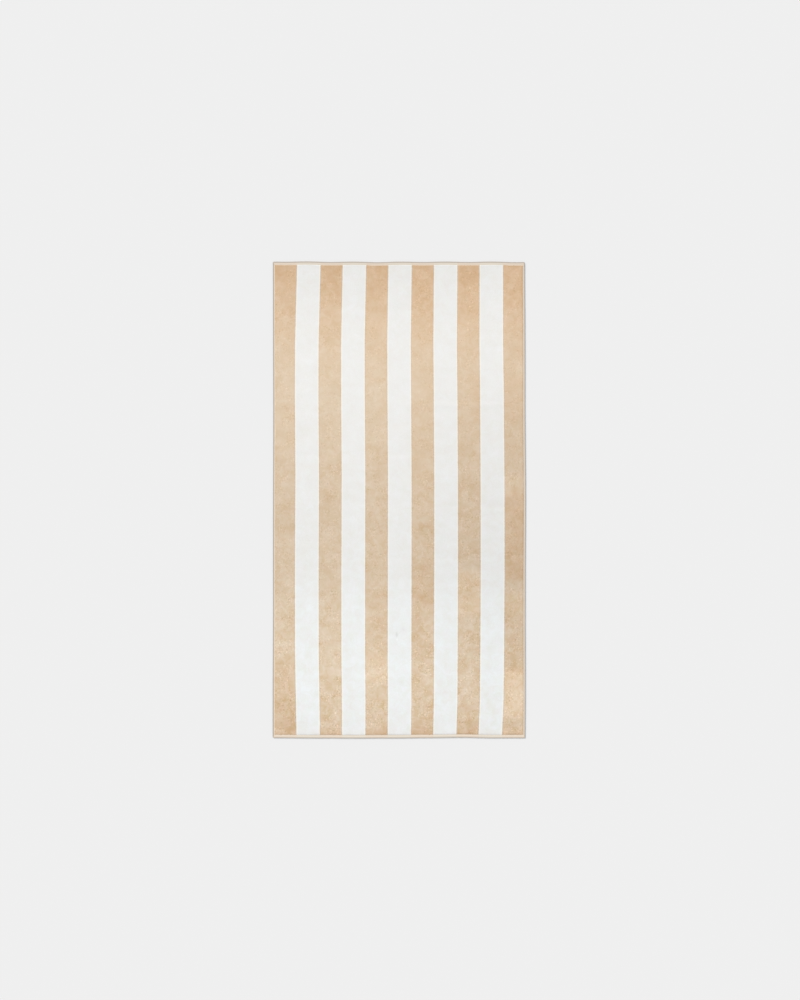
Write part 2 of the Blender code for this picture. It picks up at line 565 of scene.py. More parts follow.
    def _patched(self, field: str, total: np.ndarray, u: np.ndarray, v: np.ndarray) -> np.ndarray:
        """Add one field of the patches to a total: whole inside each, and 0 outside its soft edge.

        Args:
            field: The field of the patches.
            total: What it is added to.
            u: Woven places across.
            v: Woven places along.

        Returns:
            The new total.
        """
        soft = self.patch_edge
        for patch in self.patches:
            across = rise(patch.width + soft, patch.width - soft, np.abs(u - patch.u))
            along = rise(patch.length + soft, patch.length - soft, np.abs(v - patch.v))
            total = total + getattr(patch, field) * (across * along)
        return total


# Finishes


@dataclass(frozen=True)
class Stripes:
    """The woven stripes, as the shader trees of all cotton finishes draw them."""

    plan: WeavePlan
    tuft: float = 4.0 * MM  # scale at which the border between two stripes is ragged
    ragged: float = 0.9 * MM
    soft: float = 0.7 * MM
    coloured_edge: float = 6.0 * MM  # how far into a coloured stripe from a border its darker, greyer edge colour reaches
    white_edge: float = 6.5 * MM  # how far into a white stripe from it its lighter, creamier edge colour reaches

    def drawn(self, tree: NodeTree, woven: NodeSocket) -> tuple[NodeSocket, NodeSocket, NodeSocket]:
        """Draw the stripes.

        Args:
            tree: The material's tree.
            woven: The woven place, in metres.

        Returns:
            A socket that is 1 in a coloured stripe and 0 in a white one, then one that rises to 1
            towards the borders inside the coloured stripes, and one that does so in the white ones.
        """
        noise = add_node(
            tree, NOISE, {"Vector": woven, "Scale": 1.0 / self.tuft, "Detail": 2.0, "Roughness": 0.6},
            noise_dimensions="2D"
        )
        axes = add_node(tree, "ShaderNodeSeparateXYZ", (woven,))
        ragged = add_node(
            tree, MATH, (noise.outputs["Fac"], 2.0 * self.ragged, axes.outputs["X"]), operation="MULTIPLY_ADD"
        )
        to_middle = self.plan.width / 2 - self.plan.coloured_width / 2 - self.ragged
        moved = add_node(tree, MATH, (ragged, to_middle), operation="ADD")
        from_middle = add_node(tree, MATH, (moved, self.plan.pitch / 2), operation="PINGPONG")
        edge = self.plan.coloured_width / 2
        mask = add_node(
            tree, MAP_RANGE,
            {"Value": from_middle, "From Min": edge + self.soft, "From Max": edge - self.soft},
            interpolation_type="SMOOTHSTEP"
        )
        borders = [
            add_node(
                tree, MAP_RANGE, {"Value": from_middle, "From Min": start, "From Max": edge},
                interpolation_type="SMOOTHSTEP"
            ).outputs["Result"]
            for start in (edge - self.coloured_edge, edge + self.white_edge)
        ]
        return mask.outputs["Result"], borders[0], borders[1]


class MarkForm(Enum):
    """The forms of the marks that brushing and handling leave in a pile."""

    CLOUDS = "clouds"
    FLECKS = "flecks"
    STROKES = "strokes"


@dataclass(frozen=True)
class BrushMark:
    """One kind of marks in a pile, at one scale."""

    form: MarkForm
    size: float
    weight: float  # share of light
    distortion: float
    detail: float = 2.0  # how many finer scales it has
    stroke_width: float = 0.05  # how far from its middle the noise still draws a stroke

    def drawn(self, tree: NodeTree, woven: NodeSocket) -> NodeSocket:
        """Draw the marks.

        Clouds are soft, and lie evenly about 0. Flecks are the same noise cubed, so that only its
        extremes stay. Strokes are thin curly lines, where a noise passes its middle.

        Args:
            tree: The material's tree.
            woven: The woven place, in metres.

        Returns:
            A socket with values about 0.
        """
        noise = add_node(
            tree, NOISE,
            {
                "Vector": woven, "Scale": 1.0 / self.size, "Detail": self.detail, "Roughness": 0.55,
                "Distortion": self.distortion
            },
            noise_dimensions="2D"
        ).outputs["Fac"]
        even = add_node(tree, MATH, (noise, 0.5), operation="SUBTRACT").outputs[0]
        if self.form is MarkForm.CLOUDS:
            return even
        if self.form is MarkForm.FLECKS:
            return add_node(tree, MATH, (even, 3.0), operation="POWER").outputs[0]
        apart = add_node(tree, MATH, (even,), operation="ABSOLUTE")
        line = add_node(
            tree, MAP_RANGE,
            {"Value": apart, "From Min": self.stroke_width, "From Max": 0.0, "To Min": -0.2, "To Max": 0.8},
            interpolation_type="SMOOTHSTEP"
        )
        return line.outputs["Result"]


@dataclass(frozen=True)
class MarkSet:
    """Marks that all change the pile's colour in the same way."""

    marks: Sequence[BrushMark]
    change: tuple[float, float, float]  # of red, green and blue light
    in_white: float  # the share of it that shows in the white pile
    patchy: bool = False  # strong in some places and weak in others
    most: float = 0.20  # the strongest that a mark can be

    def drawn(self, tree: NodeTree, woven: NodeSocket, mask: NodeSocket, busy: NodeSocket) -> NodeSocket:
        """Draw the marks.

        Args:
            tree: The material's tree.
            woven: The woven place, in metres.
            mask: 1 in a coloured stripe.
            busy: How strong patchy marks are.

        Returns:
            A socket with a share of red, green and blue light about 0.
        """
        marked: NodeSocket | float = 0.0
        for mark in self.marks:
            marked = add_node(
                tree, MATH, (mark.drawn(tree, woven), mark.weight, marked), operation="MULTIPLY_ADD"
            ).outputs[0]
        share = add_node(tree, MIX, {0: mask, 2: self.in_white, 3: 1.0}).outputs[0]
        for factor in (share, busy) if self.patchy else (share,):
            marked = add_node(tree, MATH, (marked, factor), operation="MULTIPLY").outputs[0]
        kept = add_node(tree, "ShaderNodeClamp", (marked, -self.most, self.most))
        scaled = add_node(tree, VECTOR_MATH, (kept, self.change), operation="MULTIPLY")
        return scaled.outputs[0]


@dataclass(frozen=True)
class CottonPile:
    """A cotton pile on a striped ground: a base for its sheared face and its looped back."""

    stripes: Stripes
    name: str
    coloured: str
    coloured_deep: str
    white: str
    coloured_edge: str  # of the coloured pile next to each border, darker and greyer
    # Of the white pile next to each border, lighter and creamier.
    white_edge: str
    mark_sets: Sequence[MarkSet]
    relief: float  # of the fine bump
    relief_size: float
    relief_strength: float = 0.5
    coloured_shade: float = 0.20  # painted shade: light that the darkest shade takes from the coloured pile
    white_shade: float = 0.10
    warm_light: tuple[float, float, float] = (1.004, 0.995, 0.996)
    cool_light: tuple[float, float, float] = (0.998, 1.018, 1.040)
    root_shade: float = 0.05  # light that is lost between the tufts
    patch_size: float = 45 * MM
    patch_from: float = 0.36  # the noise at which the marks are weakest
    patch_to: float = 0.68  # and strongest
    least_patch: float = 0.1
    most_patch: float = 2.2
    dye_drift: float = 0.3  # how much the depth of the dye strays from patch to patch
    roughness: float = 0.95
    sheen: float = 0.20
    sheen_roughness: float = 0.6

    def material(self) -> Material:
        """Build the material."""
        material, tree, shader = new_finish(self.name)
        woven = add_node(tree, ATTRIBUTE, attribute_name=WOVEN_MAP).outputs["Vector"]
        mask, coloured_border, white_border = self.stripes.drawn(tree, woven)
        patches = add_node(
            tree, NOISE, {"Vector": woven, "Scale": 1.0 / self.patch_size, "Detail": 2.0, "Distortion": 0.8},
            noise_dimensions="2D"
        ).outputs["Fac"]
        coloured = add_node(
            tree, MIX, {0: coloured_border, 6: self._dyed(tree, patches), 7: linear(self.coloured_edge)},
            data_type="RGBA"
        )
        white = add_node(
            tree, MIX, {0: white_border, 6: linear(self.white), 7: linear(self.white_edge)}, data_type="RGBA"
        )
        striped = add_node(
            tree, MIX, {0: mask, 6: white.outputs[2], 7: coloured.outputs[2]}, data_type="RGBA"
        )
        light = self._light(tree, mask, self._brushed(tree, woven, patches, mask))
        colour = add_node(tree, VECTOR_MATH, (striped.outputs[2], light), operation="MULTIPLY")
        ends = add_node(
            tree, NOISE, {"Vector": woven, "Scale": 1.0 / self.relief_size, "Detail": 2.0, "Roughness": 0.7},
            noise_dimensions="2D"
        )
        bump = add_node(
            tree, "ShaderNodeBump",
            {"Strength": self.relief_strength, "Distance": self.relief, "Height": ends.outputs["Fac"]}
        )
        inputs = {
            "Base Color": colour, "Normal": bump, "Roughness": self.roughness, "Sheen Weight": self.sheen,
            "Sheen Roughness": self.sheen_roughness
        }
        fill(tree, shader, inputs)
        return material

    def _dyed(self, tree: NodeTree, patches: NodeSocket) -> NodeSocket:
        """Give the colour of the coloured pile, whose dye looks deeper in some places.

        Args:
            tree: The material's tree.
            patches: Large soft patches, 0 to 1.

        Returns:
            A socket with the colour.
        """
        depth = add_node(tree, ATTRIBUTE, attribute_name=DEPTH)
        evened = add_node(tree, MATH, (depth.outputs["Fac"], self.dye_drift / 2), operation="SUBTRACT")
        drifted = add_node(tree, MATH, (patches, self.dye_drift, evened), operation="MULTIPLY_ADD")
        dyed = add_node(
            tree, MIX, {0: drifted, 6: linear(self.coloured), 7: linear(self.coloured_deep)},
            data_type="RGBA", clamp_factor=False
        )
        return dyed.outputs[2]

    def _brushed(
        self, tree: NodeTree, woven: NodeSocket, patches: NodeSocket, mask: NodeSocket
    ) -> NodeSocket:
        """Draw the brush marks at all their scales.

        Args:
            tree: The material's tree.
            woven: The woven place, in metres.
            patches: Large soft patches, 0 to 1.
            mask: 1 in a coloured stripe.

        Returns:
            A socket with a share of red, green and blue light about 0.
        """
        busy = add_node(
            tree, MAP_RANGE,
            {
                "Value": patches, "From Min": self.patch_from, "From Max": self.patch_to,
                "To Min": self.least_patch, "To Max": self.most_patch
            }
        ).outputs["Result"]
        total: NodeSocket | tuple[float, float, float] = (0.0, 0.0, 0.0)
        for marks in self.mark_sets:
            drawn = marks.drawn(tree, woven, mask, busy)
            summed = add_node(tree, VECTOR_MATH, (drawn, total), operation="ADD")
            total = summed.outputs[0]
        strength = add_node(tree, ATTRIBUTE, attribute_name=BUSY).outputs["Fac"]
        scaled = add_node(tree, VECTOR_MATH, (total, strength), operation="MULTIPLY")
        return scaled.outputs[0]

    def _light(self, tree: NodeTree, mask: NodeSocket, brushed: NodeSocket) -> NodeSocket:
        """Give the light that the pile returns, from its painted shade, its marks and its tufts' roots.

        Args:
            tree: The material's tree.
            mask: 1 in a coloured stripe.
            brushed: The brush marks, about 0.

        Returns:
            A socket with the factors for red, green and blue.
        """
        tip, tone, patch, cool = (
            add_node(tree, ATTRIBUTE, attribute_name=name).outputs["Fac"] for name in (TIP, PAINTED_SHADE, PATCH, COOL)
        )
        rooted = add_node(tree, MATH, (tip, self.root_shade, 1.0 - self.root_shade), operation="MULTIPLY_ADD")
        # Painted shade: the stored shade takes more light from the coloured pile than from the white.
        shade = add_node(tree, MIX, {0: mask, 2: -self.white_shade, 3: -self.coloured_shade})
        lay = add_node(tree, MATH, (tone, shade, rooted), operation="MULTIPLY_ADD")
        dark = add_node(tree, MATH, (patch, mask), operation="MULTIPLY")
        patched = add_node(tree, MATH, (lay, dark), operation="SUBTRACT")
        marked = add_node(tree, VECTOR_MATH, (patched, brushed), operation="ADD")
        hue = add_node(tree, MIX, {0: cool, 4: self.warm_light, 5: self.cool_light}, data_type="VECTOR")
        hued = add_node(tree, VECTOR_MATH, (marked, hue.outputs[1]), operation="MULTIPLY")
        return hued.outputs[0]


def cotton_velour(stripes: Stripes) -> CottonPile:
    """Describe the face: terry whose loops are sheared to an even, soft pile.

    Cut yarn ends scatter the light without gloss, and the brushed pile shows soft cloudy patches,
    swirls where a hand has passed and a fine grain. The tufts are 1.3 mm apart, too fine to show, so
    the grain is drawn at about three times that.

    Args:
        stripes: The woven stripes.

    Returns:
        The finish.
    """
    return CottonPile(
        stripes=stripes, name="sheared cotton velour", coloured="#D2BDA2", coloured_deep="#D2AF89",
        white="#DFDFDC", coloured_edge="#C7B8A8", white_edge="#ECE4D6",
        mark_sets=(
            MarkSet(
                marks=(
                    BrushMark(MarkForm.CLOUDS, 70 * MM, 0.18, 0.5, 1.0),
                    BrushMark(MarkForm.CLOUDS, 22 * MM, 0.20, 0.6, 1.0)
                ),
                change=(0.6, 1.0, 1.7), in_white=0.30
            ),
            MarkSet(
                marks=(BrushMark(MarkForm.CLOUDS, 26 * MM, 0.035, 0.3, 1.5),), change=(1.0, -0.6, 0.8),
                in_white=0.8
            ),
            MarkSet(
                marks=(
                    BrushMark(MarkForm.CLOUDS, 7.0 * MM, 0.06, 0.3, 1.0),
                    BrushMark(MarkForm.FLECKS, 5.5 * MM, 8.5, 0.5),
                    BrushMark(MarkForm.STROKES, 17 * MM, 0.05, 2.2)
                ),
                change=(0.90, 1.0, 1.17), in_white=0.08, patchy=True
            )
        ),
        relief=0.35 * MM, relief_size=2.2 * MM
    )


def cotton_terry(stripes: Stripes) -> CottonPile:
    """Describe the back: uncut terry loops, duller and rougher than the sheared face.

    The loops stand 2 mm apart and are drawn at twice that, so that they show.

    Args:
        stripes: The woven stripes.

    Returns:
        The finish.
    """
    coloured, white = "#D8C2A6", "#DFDFDC"
    loops = MarkSet(
        marks=(
            BrushMark(MarkForm.CLOUDS, 35 * MM, 0.06, 0.2), BrushMark(MarkForm.CLOUDS, 4.0 * MM, 0.30, 0.0)
        ),
        change=(1.0, 1.0, 1.0), in_white=0.6
    )
    return CottonPile(
        stripes=stripes, name="looped cotton terry", coloured=coloured, coloured_deep=coloured, white=white,
        coloured_edge=coloured, white_edge=white, mark_sets=(loops,), relief=0.8 * MM, relief_size=4.0 * MM,
        sheen=0.10
    )


@dataclass(frozen=True)
class FlatWovenHem:
    """Flat-woven cotton: the towel's ground weave without pile, turned under as a hem.

    Undyed ground yarn shows over the pile yarn, so the stripes run on as faint tints of cream, and
    the folded edge is painted darker, as painted shade of the fold.
    """

    stripes: Stripes
    name: str = "flat-woven cotton hem"
    over_coloured: str = "#D5C6B5"
    over_white: str = "#D2C9BB"
    # The fold colour is painted shade along the folded outer edge.
    fold: str = "#A99F94"
    fold_shade_width: float = 3.6 * MM
    fold_shade_soft: float = 1.2 * MM
    rib: float = 1.6 * MM  # picks are 0.8 mm apart; drawn at twice that so that they show
    rib_height: float = 0.2 * MM
    rib_strength: float = 0.6
    roughness: float = 0.85

    def material(self) -> Material:
        """Build the material."""
        material, tree, shader = new_finish(self.name)
        woven = add_node(tree, ATTRIBUTE, attribute_name=WOVEN_MAP).outputs["Vector"]
        cream = add_node(
            tree, MIX,
            {
                0: self.stripes.drawn(tree, woven)[0], 6: linear(self.over_white),
                7: linear(self.over_coloured)
            },
            data_type="RGBA"
        )
        inset = add_node(tree, ATTRIBUTE, attribute_name=INSET)
        folded = add_node(
            tree, MAP_RANGE,
            {
                "Value": inset.outputs["Fac"], "From Min": self.fold_shade_width + self.fold_shade_soft,
                "From Max": self.fold_shade_width
            },
            interpolation_type="SMOOTHSTEP"
        )
        # Painted shade along the folded edge, stronger at the top and left than at the bottom and right.
        fold_shading = add_node(tree, ATTRIBUTE, attribute_name=FOLD_SHADE)
        grey = add_node(tree, MATH, (folded.outputs["Result"], fold_shading.outputs["Fac"]), operation="MULTIPLY")
        colour = add_node(tree, MIX, {0: grey, 6: cream.outputs[2], 7: linear(self.fold)}, data_type="RGBA")
        ribs = add_node(
            tree, "ShaderNodeTexWave",
            {"Vector": woven, "Scale": WAVE_REPEAT / self.rib, "Distortion": 1.5, "Detail": 2.0},
            bands_direction="Y"
        )
        bump = add_node(
            tree, "ShaderNodeBump",
            {"Strength": self.rib_strength, "Distance": self.rib_height, "Height": ribs.outputs["Fac"]}
        )
        inputs = {"Base Color": colour.outputs[2], "Normal": bump, "Roughness": self.roughness}
        fill(tree, shader, inputs)
        return material


@dataclass(frozen=True)
class SewingThread:
    """Spun polyester sewing thread: a little shinier than the cotton round it, and evenly twisted."""

    name: str = "spun sewing thread"
    colour: str = "#D9CDBB"
    shade: str = "#C6B8A5"
    twist: float = 0.6 * MM
    roughness: float = 0.6
    sheen: float = 0.1

    def material(self) -> Material:
        """Build the material."""
        material, tree, shader = new_finish(self.name)
        place = add_node(tree, "ShaderNodeTexCoord").outputs["Object"]
        plies = add_node(
            tree, "ShaderNodeTexWave",
            {"Vector": place, "Scale": WAVE_REPEAT / self.twist, "Distortion": 0.5},
            bands_direction="DIAGONAL"
        )
        colour = add_node(
            tree, MIX, {0: plies.outputs["Fac"], 6: linear(self.shade), 7: linear(self.colour)},
            data_type="RGBA"
        )
        inputs = {"Base Color": colour.outputs[2], "Roughness": self.roughness, "Sheen Weight": self.sheen}
        fill(tree, shader, inputs)
        return material


# The cloth


class Part(Enum):
    """The parts of the cloth that have a finish of their own, in the order of its material slots."""

    FACE_PILE = 0
    WOVEN_HEM = 1
    LOOP_BACK = 2


class Yarn(Enum):
    """The pile yarns."""

    COLOURED = "coloured"
    WHITE = "white"


@dataclass
class TowelCloth:
    """The cloth itself: pile face, looped back and the four turned hems, as one closed sheet."""

    plan: WeavePlan
    lie: ClothLie
    lay: PileShadeAndDye
    pitch: float = 6.8 * MM
    tuft_room: float = 0.55 * MM  # left under the pile's height, for the tufts that grow on it
    loop_room: float = 0.80 * MM  # left under the back, likewise
    loop_room_run: float = 1.8 * MM  # how far out from the hem's inner edge that starts
    seam_dip: float = 0.55 * MM  # how far the seam draws the face in
    seam_width: float = 0.9 * MM
    hem_puff: float = 0.20 * MM
    cloud_size: float = 60 * MM
    cloud_height: float = 0.22 * MM
    cloud_spread: tuple[float, float] = (0.5, 1.6)  # the shortest and longest wave, of that size
    cloud_waves: int = 14
    cloud_seed: int = 7
    back_dip: float = 0.60 * MM  # how far the seam draws the back in
    bottom_fold_shade: float = 0.45  # painted shade on the bottom's folded edge, next to the top's
    # Painted shade on the right's folded edge, next to the top's.
    right_fold_shade: float = 0.65
    hem_insets: Sequence[float] = (0.0, 0.12, 0.45, 1.2, 2.2, 3.4, 4.8, 6.2)  # mm from the outline
    hem_step: float = 0.75  # of the pitch, between the lines of a deep hem
    seam_clear: float = 1.2  # of the seam's width, where those lines end
    seam_lines: Sequence[float] = (-0.8, 0.0, 0.8)  # of the seam's width, from its middle
    edge_lines: Sequence[float] = (0.0, 0.3, 0.65, 1.0, 1.8)  # of the pile edge's run, from the hem
    fold_shade_change: float = 4 * MM  # half of the way over which the fold's painted shade changes at a corner
    least_hem: float = 0.01 * MM  # a face that reaches further than this into a hem belongs to it
    bake_margin: float = 0.004  # left free round each side in the flat picture of the finish

    def build(self, materials: Sequence[Material]) -> Object:
        """Build the cloth's object.

        Args:
            materials: The finishes, in the order of Part.

        Returns:
            The cloth, at the origin.
        """
        plan = self.plan
        columns = self._stations(
            plan.width, plan.side_hem, plan.borders() + self.lay.dent_lines("u", "width")
        )
        rows = self._stations(plan.length, plan.end_hem, self.lay.dent_lines("v", "length"))
        mesh = self._counted_grid(len(columns) - 1, len(rows) - 1)
        counted = read(mesh.vertices, "co", np.float32, 3)
        u = columns[np.rint(counted[:, 0]).astype(int)]
        v = rows[np.rint(counted[:, 1]).astype(int)]
        self._place(mesh, u, v, counted[:, 2])
        self._map(mesh, u, v)
        for material in materials:
            mesh.materials.append(material)
        self._dress(mesh, u, v)
        mesh.shade_smooth()
        return new_object("towel_sheet", mesh)

    def bed(self, cloth: Object, part: Part, yarn: Yarn | None) -> Mesh:
        """Copy the part of the cloth that a pile grows on.

        Args:
            cloth: The finished cloth.
            part: The part of the cloth that is wanted.
            yarn: The stripes that are wanted, or None for all.

        Returns:
            An open mesh with all that the cloth's mesh carries.
        """
        copy = bmesh.new()
        copy.from_mesh(cloth.data)
        woven = copy.loops.layers.uv[WOVEN_MAP]
        unwanted = []
        for face in copy.faces:
            u = sum(loop[woven].uv.x for loop in face.loops) / len(face.loops)
            coloured = bool(self.plan.in_coloured(np.array(u)))
            wanted = yarn is None or coloured == (yarn is Yarn.COLOURED)
            if face.material_index != part.value or not wanted:
                unwanted.append(face)
        bmesh.ops.delete(copy, geom=unwanted, context="FACES")
        return new_mesh("pile_bed", copy)

    def _stations(self, size: float, hem: float, needed: Sequence[float]) -> np.ndarray:
        """Give the mesh's lines in one direction, fine in the hems and even between them.

        Args:
            size: The towel's whole size in that direction.
            hem: Depth of the hem at each end.
            needed: Woven places that lines must fall on.

        Returns:
            Woven places from the low to the high edge.
        """
        low = self._hem_lines(hem) - size / 2
        high = -low[::-1]
        stops = [low[-1], *sorted(needed), high[0]]
        inner: list[float] = []
        for start, end in zip(stops, stops[1:]):
            parts = max(1, round((end - start) / self.pitch))
            inner += [start + (end - start) * step / parts for step in range(parts)]
        return np.concatenate([low, inner[1:], high])

    def _hem_lines(self, hem: float) -> np.ndarray:
        """Give the insets of the mesh's lines in a hem and in the pile's edge beside it.

        Args:
            hem: Depth of the hem.

        Returns:
            Distances in from the outline.
        """
        seam = hem - self.plan.seam_from_pile
        clear = seam - self.seam_clear * self.seam_width
        lines = [inset * MM for inset in self.hem_insets if inset * MM < clear]
        step = self.pitch * self.hem_step
        while lines[-1] + step < seam - self.seam_width:
            lines.append(lines[-1] + step)
        lines += [seam + share * self.seam_width for share in self.seam_lines]
        return np.array(lines + [hem + share * self.plan.pile_edge_run for share in self.edge_lines])

    def _counted_grid(self, across: int, along: int) -> Mesh:
        """Make a closed flat sheet whose coordinates only count its lines.

        Args:
            across: Number of cells across.
            along: Number of cells along.

        Returns:
            A mesh with the face at z 0, the back at z -1 and their shared rim at z -0.5.
        """
        sheet = bmesh.new()
        bmesh.ops.create_grid(sheet, x_segments=across, y_segments=along, size=0.5)
        for vertex in sheet.verts:
            vertex.co.x = (vertex.co.x + 0.5) * across
            vertex.co.y = (vertex.co.y + 0.5) * along
        grown = bmesh.ops.extrude_face_region(sheet, geom=sheet.faces[:])["geom"]
        for item in grown:
            if isinstance(item, bmesh.types.BMVert):
                item.co.z = -1.0
        for vertex in sheet.verts:
            at_side = min(vertex.co.x, across - vertex.co.x) < 0.5
            at_end = min(vertex.co.y, along - vertex.co.y) < 0.5
            if at_side or at_end:
                vertex.co.z = -0.5
        bmesh.ops.remove_doubles(sheet, verts=sheet.verts[:], dist=0.1)
        bmesh.ops.recalc_face_normals(sheet, faces=sheet.faces[:])
        if sheet.calc_volume(signed=True) < 0.0:
            bmesh.ops.reverse_faces(sheet, faces=sheet.faces[:])
        return new_mesh("towel_sheet", sheet)

    def _place(self, mesh: Mesh, u: np.ndarray, v: np.ndarray, side: np.ndarray) -> None:
        """Move the counted grid's vertices to where the cloth lies, and store what finishes read.

        Args:
            mesh: The counted grid.
            u: Each vertex's woven place across.
            v: Its woven place along.
            side: Its counted z: 0 on the face, -1 on the back and -0.5 on the rim.
        """
        round_u, round_v, inset = self._rounded_corners(u, v)
        x, y = self.lie.laid_out(self.plan, round_u, round_v)
        z = np.where(side < -0.75, self._back_height(u, v, inset), self._face_height(u, v, inset))
        z[np.abs(side + 0.5) < 0.25] = self.plan.hem_thickness / 2
        mesh.vertices.foreach_set("co", np.stack([x, y, z], axis=1).ravel().astype(np.float32))
        values = {
            PAINTED_SHADE: self.lay.tone(self.plan, u, v), DEPTH: self.lay.depth(u, v),
            COOL: self.lay.along("cool", v), BUSY: self.lay.along("busy", v), PATCH: self.lay.darkness(u, v),
            INSET: inset, FOLD_SHADE: self._fold_shading(u, v)
        }
        for name, numbers in values.items():
            layer = mesh.attributes.new(name, "FLOAT", "POINT")
            layer.data.foreach_set("value", numbers.astype(np.float32))

    def _fold_shading(self, u: np.ndarray, v: np.ndarray) -> np.ndarray:
        """Say how much painted shade the folded edge gets: whole at the top and left, and less at the bottom
        and right.

        Args:
            u: Woven places across.
            v: Woven places along.

        Returns:
            Shares from 0 to 1.
        """
        nearer_bottom = (self.plan.width / 2 - np.abs(u)) - (self.plan.length / 2 + v)
        nearer_right = (self.plan.length / 2 - np.abs(v)) - (self.plan.width / 2 - u)
        less = (1.0 - self.bottom_fold_shade) * rise(-self.fold_shade_change, self.fold_shade_change, nearer_bottom)
        return 1.0 - less - (1.0 - self.right_fold_shade) * rise(-self.fold_shade_change, self.fold_shade_change, nearer_right)

    def _rounded_corners(self, u: np.ndarray, v: np.ndarray) -> tuple[np.ndarray, np.ndarray, np.ndarray]:
        """Draw the square corners of the woven rectangle in to their round outline.

        Args:
            u: Woven places across.
            v: Woven places along.

        Returns:
            The places with rounded corners, and how far each lies in from the outline.
        """
        radius = self.plan.corner_radius
        side = self.plan.width / 2 - np.abs(u)
        end = self.plan.length / 2 - np.abs(v)
        corner = (side < radius) & (end < radius)
        p, q = (radius - side) / radius, (radius - end) / radius
        with np.errstate(invalid="ignore"):
            round_p, round_q = p * np.sqrt(1.0 - q * q / 2), q * np.sqrt(1.0 - p * p / 2)
        new_u = np.sign(u) * (self.plan.width / 2 - radius * (1.0 - round_p))
        new_v = np.sign(v) * (self.plan.length / 2 - radius * (1.0 - round_q))
        round_inset = radius * (1.0 - np.hypot(round_p, round_q))
        return (
            np.where(corner, new_u, u), np.where(corner, new_v, v),
            np.where(corner, round_inset, np.minimum(side, end))
        )

    def _face_height(self, u: np.ndarray, v: np.ndarray, inset: np.ndarray) -> np.ndarray:
        """Give the height of the face: fold, hem, seam and pile.

        Args:
            u: Woven places across.
            v: Woven places along.
            inset: How far in from the outline each lies.

        Returns:
            Heights in metres.
        """
        plan = self.plan
        inner = plan.inside_hems(u, v)
        half = plan.hem_thickness / 2
        fold = half + self._folded(inset)
        across_hem = np.clip((inset - half) / np.maximum(inset - inner - half, half), 0.0, 1.0)
        puff = self.hem_puff * np.sin(np.pi * across_hem)
        seam = self.seam_dip * self._seamed(inner)
        pile = rise(0.0, plan.pile_edge_run, inner)
        height = plan.pile_thickness - self.tuft_room - plan.hem_thickness
        height += self._clouds(u, v) + self.lie.fold_relief(u, v)
        return fold + (1.0 - pile) * (puff - seam) + pile * height

    def _back_height(self, u: np.ndarray, v: np.ndarray, inset: np.ndarray) -> np.ndarray:
        """Give the height of the back: hems flat on the floor, and the ground cloth over its loops.

        Args:
            u: Woven places across.
            v: Woven places along.
            inset: How far in from the outline each lies.

        Returns:
            Heights in metres.
        """
        inner = self.plan.inside_hems(u, v)
        fold = self.plan.hem_thickness / 2 - self._folded(inset)
        dip = self.back_dip * self._seamed(inner)
        return fold + dip + self.loop_room * rise(-self.loop_room_run, 0.0, inner)

    def _folded(self, inset: np.ndarray) -> np.ndarray:
        """Give how far the hem's faces stand from its middle, in its round outer fold and inside it."""
        half = self.plan.hem_thickness / 2
        return np.sqrt(np.clip(half**2 - np.clip(half - inset, 0.0, half) ** 2, 0.0, None))

    def _seamed(self, inner: np.ndarray) -> np.ndarray:
        """Give 1 under the row of stitches, and 0 away from it."""
        return np.exp(-(((inner + self.plan.seam_from_pile) / self.seam_width) ** 2))

    def _clouds(self, u: np.ndarray, v: np.ndarray) -> np.ndarray:
        """Give the pile's soft unevenness, from crossing waves of unlike length and direction.

        Args:
            u: Woven places across.
            v: Woven places along.

        Returns:
            Heights about 0, in metres.
        """
        total = np.zeros_like(u)
        chance = np.random.default_rng(self.cloud_seed)
        for _ in range(self.cloud_waves):
            angle = chance.uniform(0.0, math.pi)
            size = self.cloud_size * chance.uniform(*self.cloud_spread)
            phase = chance.uniform(0.0, 2.0 * math.pi)
            total += np.sin((u * math.cos(angle) + v * math.sin(angle)) * 2.0 * math.pi / size + phase)
        return self.cloud_height * total / math.sqrt(self.cloud_waves)

    def _map(self, mesh: Mesh, u: np.ndarray, v: np.ndarray) -> None:
        """Store the woven places, and the layout of both sides next to each other.

        Args:
            mesh: The cloth's mesh, laid out.
            u: Each vertex's woven place across.
            v: Its woven place along.
        """
        corners = read(mesh.loops, "vertex_index", np.int32)
        woven = np.stack([u[corners], v[corners]], axis=1)
        upward = np.repeat(self._faces_up(mesh), read(mesh.polygons, "loop_total", np.int32))
        margin = self.bake_margin
        place_u = margin + (0.5 - 2 * margin) * (woven[:, 0] / self.plan.width + 0.5)
        place_v = margin + (1.0 - 2 * margin) * (woven[:, 1] / self.plan.length + 0.5)
        layout = np.stack([np.where(upward, place_u, 1.0 - place_u), place_v], axis=1)
        for name, places in ((WOVEN_MAP, woven), (BAKE_MAP, layout)):
            mesh.uv_layers.new(name=name).data.foreach_set("uv", places.ravel().astype(np.float32))

    def _faces_up(self, mesh: Mesh) -> np.ndarray:
        """Say for each polygon whether it is on the towel's face."""
        return read(mesh.polygons, "normal", np.float32, 3)[:, 2] > 0.0

    def _dress(self, mesh: Mesh, u: np.ndarray, v: np.ndarray) -> None:
        """Give each polygon the finish of the part of the cloth that it belongs to.

        Args:
            mesh: The cloth's mesh, laid out.
            u: Each vertex's woven place across.
            v: Its woven place along.
        """
        corners = read(mesh.loops, "vertex_index", np.int32)
        starts = read(mesh.polygons, "loop_start", np.int32)
        lowest = np.minimum.reduceat(self.plan.inside_hems(u, v)[corners], starts)
        pile = np.where(self._faces_up(mesh), Part.FACE_PILE.value, Part.LOOP_BACK.value)
        part = np.where(lowest > -self.least_hem, pile, Part.WOVEN_HEM.value)
        mesh.polygons.foreach_set("material_index", part.astype(np.int32))


# Pieces grown by Geometry Nodes


